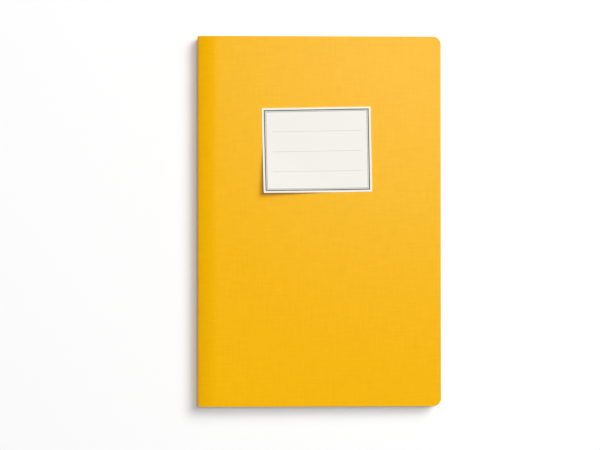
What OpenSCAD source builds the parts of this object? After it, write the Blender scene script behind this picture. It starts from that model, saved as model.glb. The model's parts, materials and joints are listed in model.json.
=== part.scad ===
// Soft-cover notebook: a block of sewn sections in a one-piece wrap-round cover, trimmed flush on
// three sides, with a paper label whose lower left corner has come loose.
// It lies on its back cover. X runs from the spine (-X) to the fore-edge, Y from tail to head (+Y),
// and Z up. The origin is the middle of the back cover's outer face. Sizes are in millimetres.

/* [Book] */
// Width of the closed book, from the spine to the fore-edge
book_w = 125; // [100:1:210]
// Height of the closed book, from tail to head
book_h = 190; // [120:1:300]
// Thickness beside the spine, where the book is thickest
book_t = 8.6; // [7:0.1:20]
// Thickness at the fore-edge
fore_t = 7.6; // [5:0.1:18]
// Radius of the two trimmed corners at the fore-edge
corner_r = 4; // [1:0.5:15]

/* [Cover] */
// Thickness of the soft cover
cover_t = 0.6; // [0.3:0.05:1]
// Distance from the back of the spine to the line where a cover bends
hinge_x = 2; // [1.5:0.25:5]

/* [Spine] */
// Width of the shoulder, where each side of the page block rounds down to the spine
shoulder_w = 10; // [7:0.5:12]
// Radius of the shoulder on the page block
shoulder_r = 29.2; // [24:0.2:60]
// Radius of the page block's two back edges
back_edge_r = 0.45; // [0.3:0.05:1]

/* [Pages] */
// Number of sections, each a pack of leaves folded and sewn through its fold
sections = 8; // [4:1:12]
// Thickness of the endpaper leaf that is pasted inside each cover
endpaper_t = 0.15; // [0.1:0.05:0.3]
// Thickness of the lining that is glued over the sewn back
lining_t = 0.2; // [0.1:0.05:0.4]
// Distance by which the lining stops short of the head and the tail
lining_margin = 6; // [2:1:20]

/* [Sewing] */
// Number of stations, where the thread crosses the back from section to section
stations = 6; // [3:1:9]
// Distance of the outermost stations from the head and the tail
station_margin = 15; // [8:1:30]
// Diameter of the sewing thread
thread_d = 0.4; // [0.25:0.05:0.6]
// Clearance round the thread in its saw cut
thread_clear = 0.05; // [0.02:0.01:0.1]

/* [Label] */
// Width of the paper label
label_w = 55.8; // [30:0.1:64]
// Height of the paper label
label_h = 43.7; // [30:0.1:60]
// Thickness of the paper label
label_t = 0.12; // [0.08:0.02:0.3]
// Thickness of the glue under the label
glue_t = 0.03; // [0.01:0.01:0.1]
// Distance of the label's middle from the back of the spine
label_from_spine = 61.3; // [45:0.1:68]
// Distance of the label's middle from the head
label_from_head = 58.5; // [35:0.1:85]
// Turn of the label on the cover, anticlockwise, in degrees
label_turn = 1.1; // [-5:0.1:5]
// Distance from the loose corner to the line where the label starts to lift
lift_reach = 23; // [10:1:32]
// Height of the loose corner above the glued part
lift_rise = 3.2; // [0.5:0.1:5]
// Radius on which the label bends where it lifts
lift_bend_r = 40; // [20:5:70]
// Direction from the loose corner to the label's middle, in degrees from its lower edge
lift_turn = 54; // [35:1:60]

/* [Hidden] */

// The two sides of the book are the same construction, told apart by a sign
FRONT = 1;
BACK = -1;

// Facets of the cover's shoulder, of its narrow part beyond the bend, of the spine's edges and of
// the label's bend
SHOULDER_STEPS = 8;
FLANGE_STEPS = 2;
EDGE_STEPS = 6;
LIFT_STEPS = 10;

// Layers counted inwards from the cover's outer face
block_inset = cover_t + endpaper_t;
back_x = cover_t + lining_t;
outer_shoulder_r = shoulder_r + block_inset;
outer_edge_r = back_edge_r + block_inset;

// Angle by which a side slopes down to the fore-edge: the back cover lies flat
front_taper = atan2(book_t - fore_t, book_w - shoulder_w);
function taper(side) = side == FRONT ? front_taper : 0;
function face_z(side) = side == FRONT ? book_t : 0;

// Centre of a shoulder's arc, which starts square to the flat part of the cover
function shoulder_c(side) = [
  shoulder_w - outer_shoulder_r * sin(taper(side)),
  face_z(side) - side * outer_shoulder_r * cos(taper(side))
];

// Centre of a spine edge's arc, which touches both the shoulder's arc and the back of the spine
function edge_dx(side) = outer_edge_r - shoulder_c(side)[0];
function edge_dz(side) = sqrt(pow(outer_shoulder_r - outer_edge_r, 2) - pow(edge_dx(side), 2));
function edge_c(side) = [outer_edge_r, shoulder_c(side)[1] + side * edge_dz(side)];

// Angles on the shoulder's arc of the cover's bend and of the spine's edge
function hinge_a(side) = acos((hinge_x - shoulder_c(side)[0]) / outer_shoulder_r);
function edge_a(side) = atan2(edge_dz(side), edge_dx(side));

// Point at radius r and angle a about c, mirrored for the back
function polar(c, side, r, a) = [c[0] + r * cos(a), c[1] + side * r * sin(a)];

// Arc about c from angle a to angle b, without its first point
function arc(c, side, r, a, b, steps) =
  [for (k = [1:steps]) polar(c, side, r, a + (b - a) * k / steps)];

function reversed(points) = [for (k = [len(points) - 1:-1:0]) points[k]];

// A side's outline at a depth below the outer face, from the fore-edge to the cover's bend
function cover_run(side, inset) =
  let (
    c = shoulder_c(side),
    r = outer_shoulder_r - inset,
    start_a = 90 - taper(side),
    start = polar(c, side, r, start_a),
    fore = [book_w, start[1] - side * (book_w - start[0]) * tan(taper(side))]
  )
  concat([fore, start], arc(c, side, r, start_a, hinge_a(side), SHOULDER_STEPS));

// The same outline on from the bend to the back of the spine
function spine_run(side, inset) =
  concat(
    arc(shoulder_c(side), side, outer_shoulder_r - inset, hinge_a(side), edge_a(side), FLANGE_STEPS),
    arc(edge_c(side), side, outer_edge_r - inset, edge_a(side), 180, EDGE_STEPS)
  );

function bend_point(side, inset) =
  polar(shoulder_c(side), side, outer_shoulder_r - inset, hinge_a(side));

// Sections of the sewn back: folds of equal height between its two edges
back_low = edge_c(BACK)[1] - back_edge_r;
back_high = edge_c(FRONT)[1] + back_edge_r;
fold_d = (back_high - back_low) / sections;
fold_x = back_x + fold_d / 2;

// Slope of the label's lifted part, which is tangent to the bend and ends at the loose corner
lift_a =
  asin(lift_bend_r / norm([lift_reach, lift_bend_r - lift_rise]))
  - atan2(lift_bend_r - lift_rise, lift_reach);

// The label's section at a height above its lower face, square to the line where it lifts at X = 0:
// flat, then bent up on an arc, then straight again for a length
function lift_run(height, length) =
  let (
    bend = arc([0, lift_bend_r], FRONT, lift_bend_r - height, 270, 270 - lift_a, LIFT_STEPS),
    last = bend[LIFT_STEPS - 1]
  )
  concat(
    [[length, height], [0, height]], bend, [last + length * [-cos(lift_a), sin(lift_a)]]
  );

// Carries a section drawn in X and Z along Y
module along_y(length) {
  rotate([90, 0, 0])
    linear_extrude(height = length, center = true) children();
}

// Outline of the trimmed book from above, with its two round corners
module trimmed_outline() {
  translate([0, -book_h / 2])
    square([book_w - corner_r, book_h]);
  translate([0, corner_r - book_h / 2])
    square([book_w, book_h - 2 * corner_r]);
  for (end = [-1, 1])
    translate([book_w - corner_r, end * (book_h / 2 - corner_r)])
      circle(r = corner_r, $fn = 64);
}

// A section carried over the height, then trimmed with the rest of the book
module trimmed() {
  translate([-book_w / 2, 0, 0])
    intersection() {
      along_y(book_h) children();
      linear_extrude(height = book_t) trimmed_outline();
    }
}

// A layer of one side, between two depths below its outer face
module layer(side, outer, inner) {
  polygon(concat(cover_run(side, outer), reversed(cover_run(side, inner))));
}

module front_cover() {
  color([0.97, 0.73, 0.12])
    trimmed() layer(FRONT, 0, cover_t);
}

module back_cover() {
  color([0.97, 0.73, 0.12])
    trimmed() layer(BACK, 0, cover_t);
}

// The wrap's middle: it rounds both spine edges and stays glued to the sewn back
module spine_cover() {
  color([0.94, 0.68, 0.08])
    trimmed()
      polygon(concat(
        [bend_point(FRONT, 0)], spine_run(FRONT, 0),
        reversed(spine_run(BACK, 0)), [bend_point(BACK, 0)],
        [bend_point(BACK, cover_t)], spine_run(BACK, cover_t),
        reversed(spine_run(FRONT, cover_t)), [bend_point(FRONT, cover_t)]
      ));
}

module front_endpaper() {
  color([0.95, 0.93, 0.87])
    trimmed() layer(FRONT, cover_t, block_inset);
}

module back_endpaper() {
  color([0.95, 0.93, 0.87])
    trimmed() layer(BACK, cover_t, block_inset);
}

// The rounded folds of the sections, side by side on the back
module section_folds() {
  for (k = [0:sections - 1])
    translate([fold_x, back_low + (k + 0.5) * fold_d])
      circle(d = fold_d, $fn = 32);
}

// Everything between the endpapers, with its folds standing proud at the back
module block_section() {
  intersection() {
    polygon(concat(
      cover_run(FRONT, block_inset), spine_run(FRONT, block_inset),
      reversed(spine_run(BACK, block_inset)), reversed(cover_run(BACK, block_inset))
    ));
    union() {
      translate([fold_x - fold_d / 4, 0])
        square([book_w, book_t]);
      section_folds();
    }
  }
}

// Places its children at every sewing station, at the front of the lining
module at_stations() {
  span = book_h - 2 * station_margin;
  for (k = [0:stations - 1])
    translate([back_x - book_w / 2, -span / 2 + k * span / (stations - 1), 0])
      children();
}

// The sewn leaves, all as one solid, with a saw cut across the back at every station
module page_block() {
  cut_w = thread_d + 2 * thread_clear;
  color([0.96, 0.95, 0.9])
    difference() {
      trimmed() block_section();
      at_stations()
        translate([-cut_w, -cut_w / 2, 0])
          cube([2 * cut_w, cut_w, book_t]);
    }
}

// The thread where it links the folds, from the first section to the last
module sewing_thread() {
  color([0.98, 0.97, 0.94])
    at_stations()
      translate([thread_clear + thread_d / 2, 0, back_low + fold_d / 2])
        cylinder(d = thread_d, h = back_high - back_low - fold_d, $fn = 32);
}

// The strip that is glued over the folds, behind the cover's spine
module spine_lining() {
  low = edge_c(BACK)[1];
  high = edge_c(FRONT)[1];
  color([0.88, 0.86, 0.8])
    translate([cover_t - book_w / 2, lining_margin - book_h / 2, low])
      cube([lining_t, book_h - 2 * lining_margin, high - low]);
}

// The label's sheet with its lower left corner at the origin, flat where it is glued, and lifted
// towards that corner
module lifted_sheet() {
  length = label_w + label_h;
  intersection() {
    cube([label_w, label_h, lift_rise + 2 * label_t]);
    rotate([0, 0, lift_turn])
      translate([lift_reach, 0, 0])
        along_y(2 * length)
          polygon(concat(lift_run(0, length), reversed(lift_run(label_t, length))));
  }
}

module label() {
  color([0.99, 0.98, 0.95])
    translate([shoulder_w - book_w / 2, 0, book_t])
      rotate([0, front_taper, 0])
        translate([label_from_spine - shoulder_w, book_h / 2 - label_from_head, glue_t])
          rotate([0, 0, label_turn])
            translate([-label_w / 2, -label_h / 2, 0])
              lifted_sheet();
}

front_cover();
spine_cover();
back_cover();
front_endpaper();
back_endpaper();
page_block();
spine_lining();
sewing_thread();
label();
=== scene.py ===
"""Looks of a soft-cover notebook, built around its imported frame.

The cover, the endpapers, the pages and the label are surfaces worked out with numpy. Each is laid
out flat first, as a closed sheet with one coordinate along the section, one along the height and
one through the sheet. It is then wrapped onto the book's section, stacked between the endpapers or
lifted at a corner. Every point keeps its flat place in the attribute "sheet", and the patterns
follow that.
"""

import json
from math import acos, asin, atan2, cos, hypot, pi, radians, sin, sqrt, tan

import bpy
import numpy as np
from bpy.props import FloatProperty, FloatVectorProperty, IntProperty, PointerProperty
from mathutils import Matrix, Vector


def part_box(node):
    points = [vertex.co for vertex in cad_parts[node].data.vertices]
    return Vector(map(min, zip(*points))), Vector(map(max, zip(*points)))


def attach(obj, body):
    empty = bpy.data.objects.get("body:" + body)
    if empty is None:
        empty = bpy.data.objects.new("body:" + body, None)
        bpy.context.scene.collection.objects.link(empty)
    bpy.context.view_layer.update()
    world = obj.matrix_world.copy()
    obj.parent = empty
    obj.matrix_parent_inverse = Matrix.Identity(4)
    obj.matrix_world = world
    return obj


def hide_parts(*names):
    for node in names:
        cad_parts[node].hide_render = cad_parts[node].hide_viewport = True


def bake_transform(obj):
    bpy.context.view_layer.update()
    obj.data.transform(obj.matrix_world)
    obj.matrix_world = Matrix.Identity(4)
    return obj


bl_info = {
    "name": "Soft-cover notebook",
    "version": (1, 0, 0),
    "blender": (4, 5, 0),
    "location": "3D View > Sidebar > Notebook",
    "description": "Builds a sewn soft-cover notebook with a paper label that has a loose corner",
    "category": "Add Mesh",
}

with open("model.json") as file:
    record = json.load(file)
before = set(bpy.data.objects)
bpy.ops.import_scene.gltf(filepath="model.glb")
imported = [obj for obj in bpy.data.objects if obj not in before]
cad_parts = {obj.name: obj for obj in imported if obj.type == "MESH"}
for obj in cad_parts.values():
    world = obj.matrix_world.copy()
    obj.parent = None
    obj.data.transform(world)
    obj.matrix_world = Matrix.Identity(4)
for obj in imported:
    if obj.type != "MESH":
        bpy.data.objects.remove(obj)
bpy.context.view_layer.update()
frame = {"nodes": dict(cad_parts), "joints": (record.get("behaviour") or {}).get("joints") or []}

# Sizes that the frame gives, in metres
COVER_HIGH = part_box("front_cover")[1]
BOOK_W = 2 * COVER_HIGH.x
BOOK_H = 2 * COVER_HIGH.y
BOOK_T = COVER_HIGH.z
BACK_X = -COVER_HIGH.x
COVER_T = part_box("back_endpaper")[0].z
BLOCK_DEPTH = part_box("page_block")[0].z
LABEL_MIDDLE = (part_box("label")[0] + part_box("label")[1]) / 2
PIVOTS = {joint["child"]: Vector(joint["pos_m"]) for joint in frame["joints"]}

MM = 0.001

# Mesh steps, which set how fine a surface is
CORNER_STEPS = 14
CUT_STEPS = 3
FOLD_STEPS = 13
PAGE_STEPS = 24
BEND_STEP = 0.2 * MM
SHOULDER_STEP = 0.5 * MM
FACE_STEP = 5 * MM
LABEL_STEP = 1.5 * MM
SUPPORT = 0.12 * MM
SAW_WALL = 0.01 * MM
SHARP = radians(32)

# A paper's thickness divided by the radius of its cut edge
PAPER_ROUNDING = 5


# Settings


def length(name, description, default, **more):
    """A length setting, in metres."""
    return FloatProperty(name=name, description=description, default=default, unit="LENGTH", **more)


def thin_length(name, description, default):
    """A length setting that shows hundredths of a millimetre."""
    return length(name, description, default, precision=5)


def angle(name, description, degrees):
    """An angle setting, in radians. Its default is given in degrees."""
    return FloatProperty(name=name, description=description, default=radians(degrees), unit="ROTATION")


def tint(name, description, default):
    """A colour setting: linear red, green and blue from 0 to 1."""
    return FloatVectorProperty(
        name=name, description=description, default=default, min=0, max=1, subtype="COLOR"
    )


def amount(name, description, default, **more):
    """A setting for how much there is of something, from 0."""
    return FloatProperty(name=name, description=description, default=default, min=0, **more)


class BookSettings(bpy.types.PropertyGroup):
    """Section of the closed book"""

    fore_thickness: length(
        "Fore-edge thickness", "Thickness of the closed book at its fore-edge", 7.6 * MM
    )
    shoulder_width: length("Shoulder width", "Width over which a side rounds down to the spine", 10 * MM)
    shoulder_radius: length(
        "Shoulder radius", "Radius of the shoulder on the cover's outer face", 29.2 * MM + BLOCK_DEPTH
    )
    edge_radius: length(
        "Spine edge radius",
        "Radius of the two edges of the spine on the cover's outer face",
        0.45 * MM + BLOCK_DEPTH,
    )
    hinge_distance: length(
        "Bend distance", "Distance of the line where a cover bends from the back of the spine", 2 * MM
    )
    corner_radius: length("Corner radius", "Radius of the two trimmed corners at the fore-edge", 4 * MM)


class CoverSettings(bpy.types.PropertyGroup):
    """Soft card of the wrap-round cover"""

    colour: tint("Colour", "Colour of the dyed card", (0.96, 0.494, 0.0))
    # Painted light: the shoulder slopes into shade, and a redder card colour there lightens it.
    shoulder_colour: tint(
        "Shoulder colour",
        "Colour of the dyed card on the shoulder, where hands warm it most",
        (1.0, 0.497, 0.0),
    )
    core_colour: tint("Core colour", "Colour of the card where it is cut", (0.85, 0.5, 0.06))
    cut_radius: length("Cut edge radius", "Rounding of the trimmed edges", 0.08 * MM)
    fold_width: length(
        "Fold width", "Width over which a cover and its endpaper fold when the cover opens", 0.6 * MM
    )
    emboss_pitch: length("Emboss pitch", "Distance between the threads of the linen emboss", 0.5 * MM)
    emboss_depth: thin_length("Emboss depth", "Depth of the linen emboss", 0.014 * MM)
    wear_width: length("Wear width", "Width of the rubbed band along the trimmed edges", 0.7 * MM)


class PagesSettings(bpy.types.PropertyGroup):
    """Sewn leaves, endpapers, lining and thread"""

    sections: IntProperty(name="Sections", description="Number of sewn sections", default=8, min=1)
    leaves: IntProperty(name="Leaves", description="Number of leaves in a section", default=8, min=1)
    groove: thin_length("Groove", "Depth of the groove between two leaves on a trimmed face", 0.02 * MM)
    section_groove: thin_length(
        "Section groove", "Depth of the groove between two sections on a trimmed face", 0.05 * MM
    )
    unevenness: thin_length(
        "Unevenness", "Distance by which single leaves stand back from the trimmed face", 0.015 * MM
    )
    stations: IntProperty(
        name="Sewing stations", description="Number of saw cuts across the folds", default=6, min=2
    )
    station_margin: length(
        "Station margin", "Distance of the outermost saw cuts from the head and the tail", 15 * MM
    )
    cut_width: length("Saw cut", "Width and depth of a saw cut", 0.5 * MM)
    colour: tint("Paper colour", "Colour of the pages", (0.87, 0.84, 0.76))
    endpaper_colour: tint("Endpaper colour", "Colour of the endpapers", (0.84, 0.81, 0.73))
    lining_colour: tint("Lining colour", "Colour of the cloth glued over the folds", (0.72, 0.68, 0.58))
    thread_colour: tint("Thread colour", "Colour of the sewing thread", (0.88, 0.85, 0.78))


class LabelSettings(bpy.types.PropertyGroup):
    """Paper label with its printed frame and rules"""

    width: length("Width", "Width of the label", 55.8 * MM)
    height: length("Height", "Height of the label", 43.7 * MM)
    thickness: thin_length("Thickness", "Thickness of the label's paper", 0.12 * MM)
    glue: thin_length("Glue", "Thickness of the glue under the label", 0.03 * MM)
    turn: angle("Turn", "Turn of the label on the cover, anticlockwise", 1.1)
    corner_radius: length("Corner radius", "Radius of the label's corners", 0.3 * MM)
    lift_reach: length(
        "Lift reach", "Distance from the loose corner to the line where the label lifts", 23 * MM
    )
    lift_rise: length("Lift rise", "Height of the loose corner above the glued part", 3.2 * MM)
    lift_bend: length("Bend radius", "Radius on which the label bends where it lifts", 40 * MM)
    lift_turn: angle(
        "Lift direction", "Direction from the loose corner to the middle, from the lower edge", 54
    )
    # Painted shade: share by which the loose part is darkened, against the light it catches where it
    # tilts up.
    dulling: amount(
        "Dulling", "Share by which the loose part of the label is greyer from handling", 0.06, max=1
    )
    frame_inset: length(
        "Frame inset", "Distance of the outer frame line's middle from the label's edge", 1.27 * MM
    )
    frame_line: length("Frame line", "Width of the outer frame line", 0.55 * MM)
    inner_gap: length(
        "Inner line distance", "Distance of the thin inner line from the outer frame line", 0.73 * MM
    )
    inner_line: length("Inner line", "Width of the thin inner line", 0.18 * MM)
    rule_length: length("Rule length", "Length of the three rules for writing on", 45.7 * MM)
    rule_line: length("Rule line", "Width of a rule", 0.13 * MM)
    rule_pitch: length("Rule pitch", "Distance from rule to rule", 10.3 * MM)
    rule_middle: length("Middle rule", "Place of the middle rule above the label's middle", -0.6 * MM)
    colour: tint("Field colour", "Colour of the field inside the frame", (0.92, 0.895, 0.834))
    margin_colour: tint(
        "Margin colour", "Colour of the margin outside the frame and of the back", (0.95, 0.93, 0.84)
    )
    ink_colour: tint("Ink colour", "Colour of the frame and the rules", (0.075, 0.078, 0.082))


class StageSettings(bpy.types.PropertyGroup):
    """Floor, lamps and camera"""

    floor_colour: tint("Floor colour", "Colour of the floor in light", (0.93, 0.93, 0.93))
    floor_glow: amount("Floor glow", "White that the camera sees the floor add to its lit colour", 0.1)
    fill: amount("Fill", "Strength of the even light from all round", 0.22)
    backdrop_low: angle(
        "Backdrop's full height",
        "Height above the ground, as an angle, up to which the surroundings are white",
        30,
    )
    backdrop_high: angle(
        "Backdrop's end", "Height above the ground, as an angle, at which the white has faded out", 55
    )
    lamp_distance: length("Lamp distance", "Distance of both lamps from the book", 4.0)
    side_power: amount("Side lamp power", "Power of the lamp beside the book", 140.0, unit="POWER")
    side_size: length("Side lamp size", "Side of the square lamp beside the book", 2.4)
    side_azimuth: angle(
        "Side lamp azimuth",
        "Direction of the lamp beside the book, from the fore-edge towards the head",
        40,
    )
    side_zenith: angle(
        "Side lamp zenith angle", "Angle of the lamp beside the book from straight above", 42.9
    )
    top_power: amount("Top lamp power", "Power of the lamp over the book", 28.0, unit="POWER")
    top_size: length("Top lamp size", "Side of the square lamp over the book", 0.5)
    top_azimuth: angle(
        "Top lamp azimuth",
        "Direction of the lamp over the book, from the fore-edge towards the head",
        49.5,
    )
    top_zenith: angle(
        "Top lamp zenith angle", "Angle of the lamp over the book from straight above", 11.3
    )
    camera_place: FloatVectorProperty(
        name="Camera place",
        description="Place of the camera",
        default=(-29.35 * MM, -11.18 * MM, 850 * MM),
        subtype="XYZ",
        unit="LENGTH",
    )
    camera_turn: FloatVectorProperty(
        name="Camera turn",
        description="Turn of the camera from looking straight down with the head up",
        default=(radians(0.625), radians(-1.32), radians(-0.013)),
        subtype="EULER",
    )
    camera_lens: FloatProperty(
        name="Focal length",
        description="Focal length for a sensor 36 mm wide",
        default=98.56,
        subtype="DISTANCE_CAMERA",
    )


class NotebookSettings(bpy.types.PropertyGroup):
    """All settings of the notebook"""

    book: PointerProperty(type=BookSettings)
    cover: PointerProperty(type=CoverSettings)
    pages: PointerProperty(type=PagesSettings)
    label: PointerProperty(type=LabelSettings)
    stage: PointerProperty(type=StageSettings)


# Section of the book


class Side:
    """Section of one side: straight back, edge arc, shoulder arc and straight face, all tangent.

    Lengths run along the outer face from the middle of the back. x runs from the back to the
    fore-edge, and z up. The back cover's side has the sign -1 and is mirrored in z."""

    def __init__(self, book, sign, face_z, drop):
        self.sign = sign
        self.taper = atan2(drop, BOOK_W - book.shoulder_width)
        self.shoulder_r = book.shoulder_radius
        self.edge_r = book.edge_radius
        self.shoulder_x = book.shoulder_width - self.shoulder_r * sin(self.taper)
        self.shoulder_z = face_z - sign * self.shoulder_r * cos(self.taper)
        across = self.edge_r - self.shoulder_x
        rise = sqrt((self.shoulder_r - self.edge_r) ** 2 - across**2)
        self.edge_z = self.shoulder_z + sign * rise
        self.edge_angle = atan2(rise, across)
        self.hinge_angle = acos((book.hinge_distance - self.shoulder_x) / self.shoulder_r)
        self.edge_run = self.edge_r * (pi - self.edge_angle)
        self.shoulder_run = self.shoulder_r * (self.edge_angle - pi / 2 + self.taper)
        self.face_run = (BOOK_W - book.shoulder_width) / cos(self.taper)

    def measure(self, middle_z):
        """Lengths from the middle of the back to the bend, to the flat face and to the fore-edge."""
        self.middle_z = middle_z
        self.back_run = abs(self.edge_z - middle_z)
        shoulder_start = self.back_run + self.edge_run
        self.bend = shoulder_start + self.shoulder_r * (self.edge_angle - self.hinge_angle)
        self.face = shoulder_start + self.shoulder_run
        self.fore = self.face + self.face_run

    def place(self, run, depth):
        """x and z of points that lie run along the outer face and depth below it.

        Each stretch adds its own chord: radius times the difference of the cosines and sines of its
        two angles on an arc, and length times cosine and sine of the taper on the face."""
        on_edge = np.clip(run - self.back_run, 0, self.edge_run)
        on_shoulder = np.clip(run - self.back_run - self.edge_run, 0, self.shoulder_run)
        on_face = np.maximum(run - self.face, 0)
        edge_turn = pi - on_edge / self.edge_r
        turn = self.edge_angle - on_shoulder / self.shoulder_r
        x = self.edge_r * (1 + np.cos(edge_turn))
        x += self.shoulder_r * (np.cos(turn) - cos(self.edge_angle)) + on_face * cos(self.taper)
        z = np.clip(run, 0, self.back_run) + self.edge_r * np.sin(edge_turn)
        z += self.shoulder_r * (np.sin(turn) - sin(self.edge_angle)) - on_face * sin(self.taper)
        normal = edge_turn + turn - self.edge_angle
        x -= depth * np.cos(normal)
        z -= depth * np.sin(normal)
        return x, self.middle_z + self.sign * z

    def height(self, x, depth):
        """z of the side at x and at a depth below its outer face: a circle, then a sloping line."""
        radius = self.shoulder_r - depth
        end = self.shoulder_x + radius * sin(self.taper)
        arc = np.sqrt(radius**2 - (np.minimum(x, end) - self.shoulder_x) ** 2)
        slope = np.maximum(x - end, 0) * tan(self.taper)
        return self.shoulder_z + self.sign * (arc - slope)

    def bend_direction(self):
        """Direction of the outer face at the bend, towards the fore-edge."""
        return Vector((sin(self.hinge_angle), 0, -self.sign * cos(self.hinge_angle)))


def book_sides(book):
    """The front and the back side of the closed book."""
    front = Side(book, 1, BOOK_T, BOOK_T - book.fore_thickness)
    back = Side(book, -1, 0, 0)
    middle_z = (front.edge_z + back.edge_z) / 2
    front.measure(middle_z)
    back.measure(middle_z)
    return front, back


def wrap(flat, sides):
    """Carries flat points (run, height, depth) onto the section; a negative run is on the back."""
    run, up, depth = flat.T
    placed = np.empty_like(flat)
    for side in sides:
        own = run >= 0 if side.sign > 0 else run < 0
        x, z = side.place(np.abs(run[own]), depth[own])
        placed[own] = np.stack([BACK_X + x, up[own], z], 1)
    return placed


# Flat sheets


def outline(straight, end, half, radius, cut):
    """Columns, half heights and leans of an outline that ends in two round corners.

    A straight column has the full half height. In the corners, a column at the turn t lies
    (radius - cut) * sin t past the corner's centre and reaches (radius - cut) * cos t above it. The
    lean is the angle of the outline's outward direction from the height's. The outline is drawn in
    by cut, which the rounding of the rim gives back."""
    turn = np.linspace(0, pi / 2, CORNER_STEPS)
    columns = np.concatenate([straight, end - radius + (radius - cut) * np.sin(turn)])
    halves = np.full(len(columns), half - cut)
    halves[len(straight):] = half - radius + (radius - cut) * np.cos(turn)
    leans = np.zeros(len(columns))
    leans[len(straight):] = turn
    return columns, halves, leans


def mirrored(columns, halves, leans):
    """The same outline, seen in a mirror that stands at 0."""
    return -columns[::-1], halves[::-1], -leans[::-1]


def spread_rows(half, step):
    """Rows from -1 to 1, with one close to each end that keeps the rim's rounding off the face."""
    inner = 1 - SUPPORT / half
    count = max(2, round(2 * half / step))
    return np.concatenate([[-1], np.linspace(-inner, inner, count), [1]])


def cut_levels(thickness, radius):
    """Shares of the thickness and outward pushes of a rim: quarter circle, side, quarter circle."""
    turn = np.linspace(0, pi / 2, CUT_STEPS + 1)[1:]
    shares = radius * (1 - np.cos(turn)) / thickness
    pushes = radius * np.sin(turn)
    return np.concatenate([shares, 1 - shares[::-1]]), np.concatenate([pushes, pushes[::-1]])


def flat_sheet(columns, halves, leans, rows, shares, pushes):
    """A closed sheet laid out flat: points (along, up, share of the thickness) and quads.

    Both faces are the grid along = column, up = row * half height. The rim between them is the
    grid's outline, moved by each level's push along (sin lean, cos lean) at a column's two ends,
    and along the first or last column's own lean between them. A lean of 0 there moves nothing, so
    a sheet may go on in its neighbour."""
    size = (len(rows), len(columns))
    out = np.zeros((*size, 2))
    out[[0, -1], :, 0] = np.sin(leans)
    out[0, :, 1] = -np.cos(leans)
    out[-1, :, 1] = np.cos(leans)
    out[1:-1, 0, 0] = np.sin(leans[0])
    out[1:-1, -1, 0] = np.sin(leans[-1])

    number = np.arange(len(rows) * len(columns)).reshape(size)
    ring = np.concatenate([number[0], number[1:, -1], number[-1, -2::-1], number[-2:0:-1, 0]])
    face = np.stack([np.broadcast_to(columns, size), rows[:, None] * halves], -1).reshape(-1, 2)
    levels = face[ring] + pushes[:, None, None] * out.reshape(-1, 2)[ring]
    depth = np.broadcast_to(shares[:, None, None], (len(shares), len(ring), 1))
    rim = np.concatenate([levels, depth], 2).reshape(-1, 3)
    upper = np.column_stack([face, np.zeros(len(face))])
    lower = np.column_stack([face, np.ones(len(face))])
    return np.concatenate([upper, lower, rim]), sheet_quads(number, ring, len(shares))


def sheet_quads(number, ring, levels):
    """Quads of a closed sheet: its upper face, its lower face and the bands of its rim.

    number holds the upper face's points and ring those of its outline. The lower face's points
    follow in the same order, and then the rim's, level by level."""
    face = np.stack([number[:-1, :-1], number[:-1, 1:], number[1:, 1:], number[1:, :-1]], -1)
    face = face.reshape(-1, 4)
    between = 2 * number.size + np.arange(levels * len(ring)).reshape(levels, -1)
    here = np.vstack([ring, between, number.size + ring])
    ahead = np.roll(here, -1, 1)
    bands = np.stack([ahead[:-1], here[:-1], here[1:], ahead[1:]], -1).reshape(-1, 4)
    return np.concatenate([face, face[:, ::-1] + number.size, bands])


def add_object(name, data):
    """A new object with that mesh, lamp or lens, in the scene."""
    made = bpy.data.objects.new(name, data)
    bpy.context.scene.collection.objects.link(made)
    return made


def make_piece(name, points, flat, quads, material):
    """A mesh piece with its flat place as an attribute, smooth apart from its sharp edges."""
    mesh = bpy.data.meshes.new(name)
    mesh.from_pydata(points.tolist(), [], quads.tolist())
    sheet = mesh.attributes.new("sheet", "FLOAT_VECTOR", "POINT")
    sheet.data.foreach_set("vector", flat.astype(np.float32).ravel())
    mesh.shade_smooth()
    mesh.set_sharp_from_angle(angle=SHARP)
    mesh.materials.append(material)
    return add_object(name, mesh)


# Nodes


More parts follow.
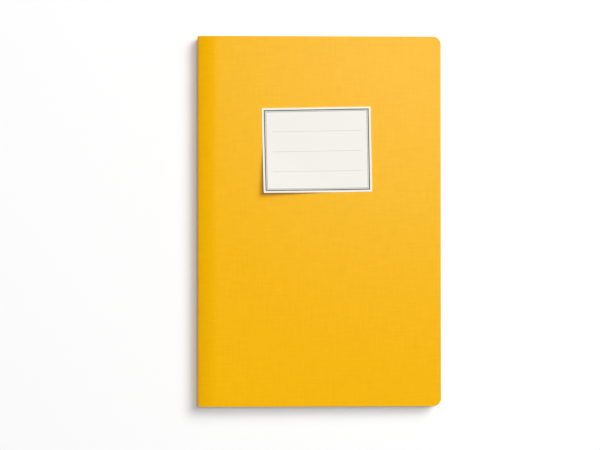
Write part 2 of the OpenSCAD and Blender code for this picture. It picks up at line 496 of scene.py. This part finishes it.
class Graph:
    """The nodes of a material, a world or a node group, with short ways to add one.

    An input is given as a value or as another node's output, and a colour as three numbers."""

    def __init__(self, tree):
        self.tree = tree

    def node(self, kind, inputs=(), **options):
        made = self.tree.nodes.new(kind)
        for key, value in options.items():
            setattr(made, key, value)
        for key, value in dict(inputs).items():
            socket = made.inputs[key]
            if isinstance(value, bpy.types.NodeSocket):
                self.tree.links.new(value, socket)
            else:
                socket.default_value = (*value, 1.0) if socket.type == "RGBA" else value
        return made

    def group(self, fill, **inputs):
        """The outputs of a node group. Its inputs are named with underscores for spaces."""
        named = {key.replace("_", " "): value for key, value in inputs.items()}
        return self.node("ShaderNodeGroup", named, node_tree=node_group(fill)).outputs

    def math(self, operation, *values):
        return self.node("ShaderNodeMath", enumerate(values), operation=operation).outputs[0]

    def minus(self, first, second):
        return self.math("SUBTRACT", first, second)

    def times(self, first, second):
        return self.math("MULTIPLY", first, second)

    def line(self, value, slope, start):
        """start + slope * value"""
        return self.math("MULTIPLY_ADD", value, slope, start)

    def vary(self, middle, value, strength):
        """The middle where the value is a half, and more or less than that by its strength."""
        return self.line(self.minus(value, 0.5), strength, middle)

    def vector(self, operation, *values):
        made = self.node("ShaderNodeVectorMath", enumerate(values), operation=operation)
        return made.outputs["Value" if operation in ("LENGTH", "DOT_PRODUCT") else "Vector"]

    def split(self, vector):
        return self.node("ShaderNodeSeparateXYZ", {"Vector": vector}).outputs

    def join(self, x, y, z):
        return self.node("ShaderNodeCombineXYZ", {"X": x, "Y": y, "Z": z}).outputs[0]

    def span(self, value, low, high, start=0.0, end=1.0):
        """The value's place between low and high, smoothed, as a number from start to end."""
        keys = ("Value", "From Min", "From Max", "To Min", "To Max")
        inputs = dict(zip(keys, (value, low, high, start, end)))
        made = self.node("ShaderNodeMapRange", inputs, interpolation_type="SMOOTHSTEP")
        return made.outputs["Result"]

    def noise(self, place, squeeze=None, detail=2.0, roughness=0.5):
        """Noise from 0 to 1 that is finer in each direction by the numbers of squeeze."""
        if squeeze:
            place = self.vector("MULTIPLY", place, squeeze)
        inputs = {"Vector": place, "Scale": 1.0, "Detail": detail, "Roughness": roughness}
        return self.node("ShaderNodeTexNoise", inputs).outputs[0]

    def mix(self, factor, first, second):
        """The first colour where the factor is 0, and the second where it is 1."""
        made = self.node("ShaderNodeMix", {0: factor, 6: first, 7: second}, data_type="RGBA")
        return made.outputs[2]

    def shade(self, colour, factor):
        """A colour times a number."""
        return self.vector("SCALE", colour, (0, 0, 0), (0, 0, 0), factor)


def bare_graph(owner):
    """The graph of a material or a world, with no node in it."""
    owner.use_nodes = True
    owner.node_tree.nodes.clear()
    return Graph(owner.node_tree)


def node_group(fill):
    """The shader node group that fill(graph, inputs) fills, built if it isn't there yet."""
    name, inputs, outputs = GROUPS[fill]
    if name in bpy.data.node_groups:
        return bpy.data.node_groups[name]
    tree = bpy.data.node_groups.new(name, "ShaderNodeTree")
    for label, default in inputs.items():
        kind = "NodeSocketVector" if isinstance(default, tuple) else "NodeSocketFloat"
        socket = tree.interface.new_socket(label, in_out="INPUT", socket_type=kind)
        socket.default_value = default
    for label in outputs:
        tree.interface.new_socket(label, in_out="OUTPUT", socket_type="NodeSocketFloat")
    graph = Graph(tree)
    results = fill(graph, graph.node("NodeGroupInput").outputs)
    graph.node("NodeGroupOutput", dict(zip(outputs, results)))
    return tree


def paper_grain(graph, given):
    """Felted fibres: fine noise, and longer threads of it that lie along the height."""
    fibre_squeeze = (1.0, 0.14, 1.0)
    cloud_squeeze = (0.09, 0.09, 0.09)
    fibre_part = 0.6
    scaled = graph.vector("DIVIDE", given["Sheet"], graph.join(*[given["Size"]] * 3))
    fine = graph.noise(scaled, detail=3.0, roughness=0.6)
    fibres = graph.noise(scaled, fibre_squeeze, roughness=0.7)
    height = graph.line(fibres, fibre_part, graph.times(fine, 1 - fibre_part))
    cloud = graph.noise(scaled, cloud_squeeze, detail=4.0)
    return height, graph.vary(cloud, height, strength=0.5)


def linen_weave(graph, given):
    """Plain weave: two sets of round threads that pass over and under each other, with slubs.

    A thread's section is the arch 1 - 4 * off * off, and it rises and sinks with a cosine."""
    drift_squeeze = (0.05, 0.05, 0.05)
    upright_squeeze = (0.4, 0.05, 1.0)
    level_squeeze = (0.05, 0.4, 1.0)
    place = graph.vector("DIVIDE", given["Sheet"], graph.join(*[given["Pitch"]] * 3))
    drift = graph.noise(place, drift_squeeze, detail=1.0)
    x, y, _ = graph.split(graph.vector("ADD", place, graph.join(drift, drift, 0.0)))
    height = None
    for across, along, start in ((x, y, 0.0), (y, x, 1.0)):
        row = graph.math("FLOOR", across)
        off = graph.minus(graph.math("FRACT", across), 0.5)
        arch = graph.line(graph.times(off, off), -4.0, 1.0)
        phase = graph.math("ADD", graph.math("ADD", along, row), start - 0.5)
        lift = graph.math("COSINE", graph.times(phase, pi))
        thread = graph.times(arch, graph.line(lift, 0.5, 0.5))
        height = thread if height is None else graph.math("MAXIMUM", height, thread)
    upright = graph.noise(place, upright_squeeze)
    level = graph.noise(place, level_squeeze)
    streak = graph.minus(graph.math("ADD", upright, level), 1.0)
    return graph.line(streak, given["Slub"], height), streak


def edge_distance(graph, given):
    """Distance inwards from the outline of a rectangle with round corners, centred at 0."""
    reach = graph.join(given["Half Width"], given["Half Height"], 0.0)
    inner = graph.vector("SUBTRACT", reach, graph.join(given["Corner"], given["Corner"], 0.0))
    past = graph.vector("SUBTRACT", graph.vector("ABSOLUTE", given["Sheet"]), inner)
    x, y, _ = graph.split(past)
    outside = graph.join(graph.math("MAXIMUM", x, 0.0), graph.math("MAXIMUM", y, 0.0), 0.0)
    inside = graph.math("MINIMUM", graph.math("MAXIMUM", x, y), 0.0)
    total = graph.math("ADD", graph.vector("LENGTH", outside), inside)
    return (graph.minus(given["Corner"], total),)


def rubbed_edge(graph, given):
    """Mask of a rubbed band along an edge, broken up so that it comes and goes."""
    patch_squeeze = (450.0, 450.0, 450.0)
    patches = graph.noise(given["Sheet"], patch_squeeze, detail=4.0, roughness=0.65)
    width = graph.times(given["Width"], graph.span(patches, 0.35, 0.75, start=0.15, end=1.6))
    share = graph.math("DIVIDE", given["Distance"], width)
    return (graph.span(share, 0.0, 1.0, start=1.0, end=0.0),)


MIDDLE = (0.0, 0.0, 0.0)

# Name, inputs and outputs of each node group, by the function that fills it
GROUPS = {
    paper_grain: ("Paper grain", {"Sheet": MIDDLE, "Size": 0.15 * MM}, ["Height", "Tone"]),
    linen_weave: (
        "Linen weave", {"Sheet": MIDDLE, "Pitch": 0.5 * MM, "Slub": 0.5}, ["Height", "Streak"]
    ),
    edge_distance: (
        "Edge distance",
        {"Sheet": MIDDLE, "Half Width": 1.0, "Half Height": 1.0, "Corner": 0.0},
        ["Distance"],
    ),
    rubbed_edge: ("Rubbed edge", {"Sheet": MIDDLE, "Distance": 0.0, "Width": 0.5 * MM}, ["Mask"]),
}


def sheet_place(graph):
    """The flat place of a point of the sheet, in metres."""
    return graph.node("ShaderNodeAttribute", attribute_name="sheet").outputs["Vector"]


def object_place(graph):
    """The place of a point on its object, in metres."""
    return graph.node("ShaderNodeTexCoord").outputs["Object"]


def finish(graph, colour, roughness, specular, height, relief):
    """Adds the shader. The height, from 0 to 1, stands for the relief's depth in metres."""
    bump = graph.node("ShaderNodeBump", {"Height": height, "Distance": relief, "Strength": 1.0})
    inputs = {
        "Base Color": colour,
        "Roughness": roughness,
        "Specular IOR Level": specular,
        "Normal": bump.outputs[0],
    }
    shader = graph.node("ShaderNodeBsdfPrincipled", inputs)
    graph.node("ShaderNodeOutputMaterial", {"Surface": shader.outputs[0]})


# Materials


def new_material(fill, *given):
    """A material named after the function that fills its graph."""
    material = bpy.data.materials.new(fill.__name__)
    fill(bare_graph(material), *given)
    return material


def embossed_card(graph, cover, side, corner_radius):
    """Dyed card with a linen emboss, a paler core where it is cut and rubbed trimmed edges."""
    streaks = 0.09
    clouds = 0.03
    painted_valley_shade = 0.975
    rubbing = 0.18
    core_low = 0.05 * MM
    core_high = 0.15 * MM
    place = sheet_place(graph)
    along, _, depth = graph.split(place)
    weave = graph.group(linen_weave, Sheet=place, Pitch=cover.emboss_pitch, Slub=0.5)
    grain = graph.group(paper_grain, Sheet=place, Size=0.2 * MM)
    edge = {"Half_Width": side.fore, "Half_Height": BOOK_H / 2, "Corner": corner_radius}
    distance = graph.group(edge_distance, Sheet=place, **edge)[0]
    rubbed = graph.group(rubbed_edge, Sheet=place, Distance=distance, Width=cover.wear_width)[0]

    run = graph.math("ABSOLUTE", along)
    # Painted light on the shoulder, which slopes into shade: towards the bend the card turns redder.
    painted_shoulder_light = graph.span(run, side.bend, side.face, start=1.0, end=0.0)
    card = graph.mix(painted_shoulder_light, cover.colour, cover.shoulder_colour)
    tone = graph.vary(graph.line(weave["Streak"], streaks, 1.0), grain["Tone"], clouds)
    # Painted shade: the card is a little darker in the emboss's valleys.
    valley = graph.span(weave["Height"], 0.0, 0.6, start=painted_valley_shade)
    # dyed carries the card's tone together with the painted valley shade and the painted shoulder light.
    dyed = graph.shade(card, graph.times(tone, valley))
    worn = graph.mix(graph.times(rubbed, rubbing), dyed, cover.core_colour)
    core = graph.span(depth, core_low, core_high)
    roughness = graph.line(weave["Height"], slope=-0.04, start=0.26)
    finish(
        graph,
        colour=graph.mix(core, worn, cover.core_colour),
        roughness=graph.line(rubbed, slope=-0.03, start=roughness),
        specular=0.125,
        height=graph.line(grain["Height"], slope=0.25, start=weave["Height"]),
        relief=cover.emboss_depth,
    )


def paper_finish(graph, colour, grain, roughness, specular, relief):
    """Adds the shader of a paper, which is rougher and higher where its grain is."""
    finish(
        graph,
        colour=colour,
        roughness=graph.line(grain["Height"], slope=0.15, start=roughness),
        specular=specular,
        height=grain["Height"],
        relief=relief,
    )


def endpaper(graph, pages):
    """Smooth endpaper with a faint cloudy tone."""
    grain = graph.group(paper_grain, Sheet=sheet_place(graph), Size=0.25 * MM)
    colour = graph.shade(pages.endpaper_colour, graph.vary(1.0, grain["Tone"], strength=0.06))
    paper_finish(graph, colour, grain, roughness=0.62, specular=0.3, relief=0.012 * MM)


def from_middle(graph, value):
    """How far a value is from the middle between two whole numbers: 0 there and 0.5 at each."""
    return graph.math("ABSOLUTE", graph.minus(graph.math("FRACT", value), 0.5))


def page_paper(graph, pages):
    """Writing paper, with single leaves told apart by tone and a shadow line on the cut faces."""
    gap_tone = 0.72
    seam_tone = 0.8
    streak_tone = 0.9
    streaks_in_metre = 40.0
    face_share = 0.0005
    place = sheet_place(graph)
    grain = graph.group(paper_grain, Sheet=place, Size=0.2 * MM)
    along, up, share = graph.split(place)
    leaf = graph.times(share, float(pages.sections * pages.leaves))
    section = graph.times(share, float(pages.sections))
    # Painted shadow in the gaps between leaves, and a darker one between sections.
    gap = graph.span(from_middle(graph, leaf), 0.3, 0.5, start=1.0, end=gap_tone)
    seam = graph.span(from_middle(graph, section), 0.46, 0.5, start=1.0, end=seam_tone)
    own = graph.join(along, up, graph.math("FLOOR", leaf))
    streak = graph.noise(own, (streaks_in_metre, streaks_in_metre, 1.0), detail=3.0, roughness=0.6)
    edge = graph.times(graph.times(gap, seam), graph.span(streak, 0.3, 0.7, start=streak_tone))
    below = graph.math("GREATER_THAN", share, face_share)
    cut = graph.times(below, graph.math("LESS_THAN", share, 1 - face_share))
    shift = graph.times(graph.minus(edge, 1.0), cut)
    tone = graph.math("ADD", graph.vary(1.0, grain["Tone"], strength=0.05), shift)
    colour = graph.shade(pages.colour, tone)
    paper_finish(graph, colour, grain, roughness=0.68, specular=0.25, relief=0.012 * MM)


def lining_cloth(graph, pages):
    """Open cloth that is glued over the folds."""
    x, y, z = graph.split(object_place(graph))
    weave = graph.group(linen_weave, Sheet=graph.join(y, z, x), Pitch=0.6 * MM, Slub=0.8)
    # Painted shade in the weave's hollows, and a little painted light on the threads' tops.
    tone = graph.span(weave["Height"], 0.0, 0.8, start=0.7, end=1.05)
    finish(
        graph,
        colour=graph.shade(pages.lining_colour, tone),
        roughness=graph.line(weave["Height"], slope=-0.1, start=0.85),
        specular=0.2,
        height=weave["Height"],
        relief=0.05 * MM,
    )


def sewing_thread(graph, pages):
    """Twisted thread: slanting plies round its length."""
    ply_pitch = 0.35 * MM
    place = object_place(graph)
    x, y, z = graph.split(place)
    slant = graph.math("ADD", graph.math("ADD", x, y), z)
    ply = graph.math("SINE", graph.times(slant, 2 * pi / ply_pitch))
    grain = graph.group(paper_grain, Sheet=place, Size=0.08 * MM)
    height = graph.line(ply, slope=0.35, start=grain["Height"])
    # Painted shade: the thread is darker in the grooves between its plies, where the height is low.
    finish(
        graph,
        colour=graph.shade(pages.thread_colour, graph.span(height, 0.0, 0.9, start=0.75)),
        roughness=graph.line(grain["Height"], slope=0.2, start=0.6),
        specular=0.3,
        height=height,
        relief=0.04 * MM,
    )


def line_mask(graph, distance, width, wobble):
    """A printed line's mask, from the distance to its middle."""
    half = width / 2
    soft = 0.02 * MM
    off = graph.math("ADD", graph.math("ABSOLUTE", distance), wobble)
    return graph.span(off, half - soft, half + soft, start=1.0, end=0.0)


def label_print(graph, label, place, distance, wobble):
    """Mask of the print: a thick and a thin line round the field, and three fainter rules."""
    rule_strength = 0.5
    x, y, _ = graph.split(place)
    outer = graph.minus(distance, label.frame_inset)
    inner = graph.minus(distance, label.frame_inset + label.inner_gap)
    outer_mask = line_mask(graph, outer, label.frame_line, wobble)
    inner_mask = line_mask(graph, inner, label.inner_line, wobble)
    printed = graph.math("MAXIMUM", outer_mask, inner_mask)
    reach = graph.math("LESS_THAN", graph.math("ABSOLUTE", x), label.rule_length / 2)
    for number in (-1, 0, 1):
        off = graph.minus(y, label.rule_middle + number * label.rule_pitch)
        rule = graph.times(line_mask(graph, off, label.rule_line, wobble), reach)
        printed = graph.math("MAXIMUM", printed, graph.times(rule, rule_strength))
    return printed


def lift_slope(label):
    """Slope at which the bend's tangent passes through the corner, at the lift's reach and rise."""
    centre = label.lift_bend - label.lift_rise
    span = hypot(label.lift_reach, centre)
    return asin(label.lift_bend / span) - atan2(centre, label.lift_reach)


def looseness(graph, label, place):
    """0 where the label is glued, rising along the bend to 1 on the straight part of the lift."""
    inwards = (cos(label.lift_turn), sin(label.lift_turn), 0.0)
    corner = graph.vector("ADD", place, (label.width / 2, label.height / 2, 0.0))
    past = graph.minus(label.lift_reach, graph.vector("DOT_PRODUCT", corner, inwards))
    share = graph.math("DIVIDE", past, label.lift_bend * lift_slope(label))
    return graph.math("MINIMUM", graph.math("MAXIMUM", share, 0.0), 1.0)


def label_paper(graph, label):
    """Label paper with a printed double frame and three rules on its upper face."""
    wobble = 0.05 * MM
    place = sheet_place(graph)
    grain = graph.group(paper_grain, Sheet=place, Size=0.12 * MM)
    half = {"Half_Width": label.width / 2, "Half_Height": label.height / 2}
    distance = graph.group(edge_distance, Sheet=place, **half, Corner=label.corner_radius)[0]
    upper = graph.math("LESS_THAN", graph.split(place)[2], label.thickness / 4)
    field = graph.times(graph.math("GREATER_THAN", distance, label.frame_inset), upper)
    paper = graph.mix(field, label.margin_colour, label.colour)
    tone = graph.vary(1.0, grain["Tone"], strength=0.03)
    # Painted shade on the loose part, which would otherwise come out lighter where it tilts towards the
    # lamps.
    tone = graph.line(looseness(graph, label, place), -label.dulling, tone)
    uneven = graph.vary(0.0, grain["Height"], wobble)
    printed = graph.times(label_print(graph, label, place, distance, uneven), upper)
    ink = graph.times(printed, graph.vary(0.97, grain["Tone"], strength=0.25))
    colour = graph.mix(ink, graph.shade(paper, tone), label.ink_colour)
    paper_finish(graph, colour, grain, roughness=0.62, specular=0.1, relief=0.008 * MM)


def direct_look(graph):
    """1 for a ray from the camera, a reflection or a glass, and 0 for scattered light."""
    rays = graph.node("ShaderNodeLightPath").outputs
    seen = graph.math("MAXIMUM", rays["Is Camera Ray"], rays["Is Glossy Ray"])
    return graph.math("MAXIMUM", seen, rays["Is Transmission Ray"])


def white_ground(graph, stage):
    """The floor: lit diffusely, with a glow that only the camera and reflections see."""
    lit = graph.node("ShaderNodeBsdfDiffuse", {"Color": stage.floor_colour}).outputs[0]
    glow = graph.node("ShaderNodeEmission", {"Strength": stage.floor_glow}).outputs[0]
    seen = graph.node("ShaderNodeAddShader", {0: lit, 1: glow}).outputs[0]
    mixed = graph.node("ShaderNodeMixShader", {0: direct_look(graph), 1: lit, 2: seen})
    graph.node("ShaderNodeOutputMaterial", {"Surface": mixed.outputs[0]})


# Pieces


def cover_outline(settings, side, cut):
    """Outline of a cover from its bend to the fore-edge, with columns close together at the fold.

    The back cover's lies on the negative side."""
    radius = settings.book.corner_radius
    fold = side.bend + np.linspace(0, settings.cover.fold_width, FOLD_STEPS)
    shoulder = np.arange(fold[-1] + SHOULDER_STEP, side.face, SHOULDER_STEP)
    face_end = side.fore - radius
    face = np.linspace(side.face, face_end, round((face_end - side.face) / FACE_STEP))[:-1]
    columns = np.concatenate([fold, shoulder, face])
    right = outline(columns, side.fore, BOOK_H / 2, radius, cut)
    return right if side.sign > 0 else mirrored(*right)


def wrapped_sheet(name, flat_outline, depth, thickness, cut, sides, material):
    """A layer of the wrap with the given outer depth, as a piece."""
    rows = spread_rows(BOOK_H / 2, FACE_STEP)
    flat, quads = flat_sheet(*flat_outline, rows, *cut_levels(thickness, cut))
    flat[:, 2] = depth + flat[:, 2] * thickness
    points = wrap(flat, sides)
    return make_piece(name, points, flat - (0, 0, depth), quads, material)


def fold_cover(piece, body, side, width):
    """Bakes the piece's place into its mesh, alike for every cover.

    The fold's two ends, at the cover's pivot and the fold's width along the bend from it, are
    worked out but not used, so the piece doesn't fold."""
    near = PIVOTS[body]
    far = near + width * side.bend_direction()
    if body == "front_cover":
        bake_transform(piece)
    else:
        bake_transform(piece)


class NOTEBOOK_OT_cover(bpy.types.Operator):
    """Builds the wrap-round cover: front, spine and back"""

    bl_idname = "notebook.cover"
    bl_label = "Cover"

    def execute(self, context):
        settings = context.scene.notebook
        cover = settings.cover
        cut = cover.cut_radius
        sides = book_sides(settings.book)
        front, back = sides
        material = new_material(embossed_card, cover, front, settings.book.corner_radius)
        span = np.linspace(-back.bend, front.bend, round((front.bend + back.bend) / BEND_STEP))
        spine_outline = (span, np.full(len(span), BOOK_H / 2 - cut), np.zeros(len(span)))
        for node, flat_outline, side in (
            ("front_cover", cover_outline(settings, front, cut), front),
            ("spine_cover", spine_outline, None),
            ("back_cover", cover_outline(settings, back, cut), back),
        ):
            name = node + "_card"
            piece = wrapped_sheet(name, flat_outline, 0.0, COVER_T, cut, sides, material)
            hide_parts(node)
            if side:
                fold_cover(piece, node, side, cover.fold_width)
            else:
                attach(piece, "book_block")
        return {"FINISHED"}


class NOTEBOOK_OT_endpapers(bpy.types.Operator):
    """Builds the endpapers that are pasted inside the covers"""

    bl_idname = "notebook.endpapers"
    bl_label = "Endpapers"

    def execute(self, context):
        settings = context.scene.notebook
        sides = book_sides(settings.book)
        material = new_material(endpaper, settings.pages)
        thickness = BLOCK_DEPTH - COVER_T
        cut = thickness / PAPER_ROUNDING
        for word, side in zip(("front", "back"), sides):
            name = word + "_endpaper_leaf"
            flat_outline = cover_outline(settings, side, cut)
            piece = wrapped_sheet(name, flat_outline, COVER_T, thickness, cut, sides, material)
            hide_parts(word + "_endpaper")
            fold_cover(piece, word + "_cover", side, settings.cover.fold_width)
        return {"FINISHED"}


def leaf_levels(pages):
    """Shares and pushes of the cut faces: each leaf's two edges, then the groove to the next.

    A leaf's edges stand back by a random part of the unevenness, at 15 and 85% of its share."""
    count = pages.sections * pages.leaves
    number = np.arange(count)
    draw = np.random.default_rng(seed=7)
    back = -pages.unevenness * draw.random(count)
    groove = np.where((number + 1) % pages.leaves, pages.groove, pages.section_groove)
    shares = (number[:, None] + (0.15, 0.85, 1.0)) / count
    pushes = np.stack([back, back, -groove], 1)
    return shares.ravel()[:-1], pushes.ravel()[:-1]


def saw_cuts(pages):
    """Middles of the saw cuts along the height."""
    reach = BOOK_H / 2 - pages.station_margin
    return np.linspace(-reach, reach, pages.stations)


def page_rows(pages):
    """Rows from -1 to 1, with a pair close together at each side of a saw cut for its wall."""
    cut_sides = np.add.outer(saw_cuts(pages), np.array((-1, 1)) * pages.cut_width / 2)
    walls = np.add.outer((-SAW_WALL, SAW_WALL), cut_sides).ravel()
    return np.unique(np.concatenate([spread_rows(BOOK_H / 2, FACE_STEP), walls * 2 / BOOK_H]))


def page_outline(folds_x, book):
    """Outline of the pages from the middles of their rounded folds to the fore-edge."""
    shoulder = np.arange(folds_x, book.shoulder_width, SHOULDER_STEP)
    face = np.linspace(book.shoulder_width, BOOK_W - book.corner_radius, PAGE_STEPS)[:-1]
    columns = np.concatenate([shoulder, face])
    return outline(columns, BOOK_W, BOOK_H / 2, book.corner_radius, 0.0)


def stack_pages(flat, pages, folds_x, fold, sides):
    """Places flat points (x, height, share) between the endpapers.

    z goes from the front side's height to the back side's by the share. On the back, each section
    bulges by a half circle as wide as its fold, and a saw cut takes the bulge away to its depth."""
    front, back = sides
    tolerance = 0.001 * MM
    x, up, share = flat.T
    on_back = x <= folds_x + tolerance
    across = (share * pages.sections) % 1 - 0.5
    bulge = np.sqrt(np.maximum(0.25 - across**2, 0)) * fold
    in_cut = (np.abs(up[:, None] - saw_cuts(pages)) < pages.cut_width / 2).any(1)
    floor = folds_x - fold / 2 + pages.cut_width
    stepped = np.where(on_back, x - bulge, x)
    stepped = np.where(on_back & in_cut, np.maximum(stepped, floor), stepped)
    reach = np.maximum(x, folds_x)
    top = front.height(reach, BLOCK_DEPTH)
    bottom = back.height(reach, BLOCK_DEPTH)
    return np.stack([BACK_X + stepped, up, top + (bottom - top) * share], 1)


def dress_node(node, material):
    """Gives a frame node its own material."""
    mesh = frame["nodes"][node].data
    mesh.materials.clear()
    mesh.materials.append(material)


class NOTEBOOK_OT_pages(bpy.types.Operator):
    """Builds the sewn leaves, and finishes the lining and the thread"""

    bl_idname = "notebook.pages"
    bl_label = "Pages"

    def execute(self, context):
        settings = context.scene.notebook
        pages = settings.pages
        sides = book_sides(settings.book)
        front, back = sides
        edge_radius = settings.book.edge_radius - BLOCK_DEPTH
        low = back.edge_z - edge_radius
        high = front.edge_z + edge_radius
        fold = (high - low) / pages.sections
        folds_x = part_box("spine_lining")[1].x - BACK_X + fold / 2
        flat_outline = page_outline(folds_x, settings.book)
        flat, quads = flat_sheet(*flat_outline, page_rows(pages), *leaf_levels(pages))
        points = stack_pages(flat, pages, folds_x, fold, sides)
        piece = make_piece("sewn_pages", points, flat, quads, new_material(page_paper, pages))
        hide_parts("page_block")
        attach(piece, "book_block")

        dress_node("spine_lining", new_material(lining_cloth, pages))
        dress_node("sewing_thread", new_material(sewing_thread, pages))
        return {"FINISHED"}


def label_outline(label, cut):
    """Outline of the label, with round corners at both of its ends."""
    half = label.width / 2
    straight_end = half - label.corner_radius
    steps = round(straight_end / LABEL_STEP)
    straight = np.linspace(straight_end / (2 * steps), straight_end, steps)[:-1]
    right = outline(straight, half, label.height / 2, label.corner_radius, cut)
    return [np.concatenate(pair) for pair in zip(mirrored(*right), right)]


def lift_corner(flat, label):
    """x, y and rise of the label's points, with the lower left corner lifted and the label turned.

    The sheet keeps its lengths. Past the line where it lifts, it follows an arc of the bend radius
    up to the slope, and then that arc's tangent."""
    x, y, depth = flat.T
    inwards = (cos(label.lift_turn), sin(label.lift_turn))
    radius = label.lift_bend
    slope = lift_slope(label)
    from_corner = (x + label.width / 2) * inwards[0] + (y + label.height / 2) * inwards[1]
    past = np.maximum(label.lift_reach - from_corner, 0)
    turn = np.minimum(past / radius, slope)
    straight = past - radius * turn
    above = label.thickness - depth
    drawn = past - (radius - above) * np.sin(turn) - straight * cos(slope)
    rise = radius - (radius - above) * np.cos(turn) + straight * sin(slope)
    x = x + drawn * inwards[0]
    y = y + drawn * inwards[1]
    turned_x = x * cos(label.turn) - y * sin(label.turn)
    turned_y = x * sin(label.turn) + y * cos(label.turn)
    return turned_x, turned_y, rise


class NOTEBOOK_OT_label(bpy.types.Operator):
    """Builds the paper label with its loose corner"""

    bl_idname = "notebook.label"
    bl_label = "Label"

    def execute(self, context):
        settings = context.scene.notebook
        label = settings.label
        front, _ = book_sides(settings.book)
        cut = label.thickness / PAPER_ROUNDING
        rows = spread_rows(label.height / 2, LABEL_STEP)
        levels = cut_levels(label.thickness, cut)
        flat, quads = flat_sheet(*label_outline(label, cut), rows, *levels)
        flat[:, 2] *= label.thickness
        x, y, rise = lift_corner(flat, label)
        x += LABEL_MIDDLE.x
        y += LABEL_MIDDLE.y
        z = front.height(x - BACK_X, 0.0) + label.glue + rise
        points = np.stack([x, y, z], 1)
        piece = make_piece("lifted_label", points, flat, quads, new_material(label_paper, label))
        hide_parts("label")
        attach(piece, "front_cover")
        return {"FINISHED"}


def add_floor(stage):
    """A wide plane just under the book."""
    reach = 3.0
    below = -0.05 * MM
    corners = [(x * reach, y * reach, below) for x, y in ((-1, -1), (1, -1), (1, 1), (-1, 1))]
    mesh = bpy.data.meshes.new("ground")
    mesh.from_pydata(corners, [], [(0, 1, 2, 3)])
    mesh.materials.append(new_material(white_ground, stage))
    floor = add_object("ground", mesh)


def add_lamp(stage, name):
    """The square soft lamp whose settings start with that name, turned to face the book."""
    lamp = bpy.data.lights.new(name + "_lamp", "AREA")
    lamp.energy = getattr(stage, name + "_power")
    lamp.size = getattr(stage, name + "_size")
    azimuth = getattr(stage, name + "_azimuth")
    zenith = getattr(stage, name + "_zenith")
    across = sin(zenith)
    direction = Vector((across * cos(azimuth), across * sin(azimuth), cos(zenith)))
    holder = add_object(name + "_lamp", lamp)
    holder.location = direction * stage.lamp_distance
    holder.rotation_euler = direction.to_track_quat("Z", "Y").to_euler()


def add_camera(stage):
    """The camera of the photograph, almost straight above."""
    lens = bpy.data.cameras.new("camera")
    lens.lens = stage.camera_lens
    camera = add_object("camera", lens)
    camera.location = stage.camera_place
    camera.rotation_euler = stage.camera_turn
    return camera


def even_light(stage):
    """The world's even light, which shows itself as white up to the height of a backdrop."""
    world = bpy.data.worlds.new("even_light")
    graph = bare_graph(world)
    up = graph.split(graph.node("ShaderNodeTexCoord").outputs["Generated"])[2]
    low = sin(stage.backdrop_low)
    high = sin(stage.backdrop_high)
    shown = graph.times(direct_look(graph), graph.span(up, low, high, start=1.0, end=0.0))
    white = graph.line(shown, slope=1.0 - stage.fill, start=stage.fill)
    light = graph.node("ShaderNodeBackground", {"Color": (1.0, 1.0, 1.0), "Strength": white})
    graph.node("ShaderNodeOutputWorld", {"Surface": light.outputs[0]})
    return world


class NOTEBOOK_OT_stage(bpy.types.Operator):
    """Builds the floor, the two lamps, the even light and the camera"""

    bl_idname = "notebook.stage"
    bl_label = "Stage"

    def execute(self, context):
        scene = context.scene
        stage = scene.notebook.stage
        add_floor(stage)
        for name in ("side", "top"):
            add_lamp(stage, name)
        scene.camera = add_camera(stage)
        scene.world = even_light(stage)
        scene.view_settings.view_transform = "Standard"
        return {"FINISHED"}


class NOTEBOOK_PT_panel(bpy.types.Panel):
    """Lists the notebook's pieces and settings"""

    bl_label = "Soft-cover notebook"
    bl_idname = "NOTEBOOK_PT_panel"
    bl_space_type = "VIEW_3D"
    bl_region_type = "UI"
    bl_category = "Notebook"

    def draw(self, context):
        settings = context.scene.notebook
        for group, operators in PANEL_ROWS.items():
            box = self.layout.box()
            chosen = getattr(settings, group)
            for key in chosen.__annotations__:
                box.prop(chosen, key)
            for operator in operators:
                box.operator(operator.bl_idname)


PANEL_ROWS = {
    "book": (),
    "cover": (NOTEBOOK_OT_cover,),
    "pages": (NOTEBOOK_OT_endpapers, NOTEBOOK_OT_pages),
    "label": (NOTEBOOK_OT_label,),
    "stage": (NOTEBOOK_OT_stage,),
}

CLASSES = (
    BookSettings,
    CoverSettings,
    PagesSettings,
    LabelSettings,
    StageSettings,
    NotebookSettings,
    NOTEBOOK_OT_cover,
    NOTEBOOK_OT_endpapers,
    NOTEBOOK_OT_pages,
    NOTEBOOK_OT_label,
    NOTEBOOK_OT_stage,
    NOTEBOOK_PT_panel,
)


def register():
    for item in CLASSES:
        bpy.utils.register_class(item)
    bpy.types.Scene.notebook = PointerProperty(type=NotebookSettings)


def unregister():
    del bpy.types.Scene.notebook
    for item in reversed(CLASSES):
        bpy.utils.unregister_class(item)


def main():
    """Builds the whole notebook."""
    register()
    bpy.ops.notebook.cover()
    bpy.ops.notebook.endpapers()
    bpy.ops.notebook.pages()
    bpy.ops.notebook.label()
    bpy.ops.notebook.stage()


if __name__ == "__main__":
    main()
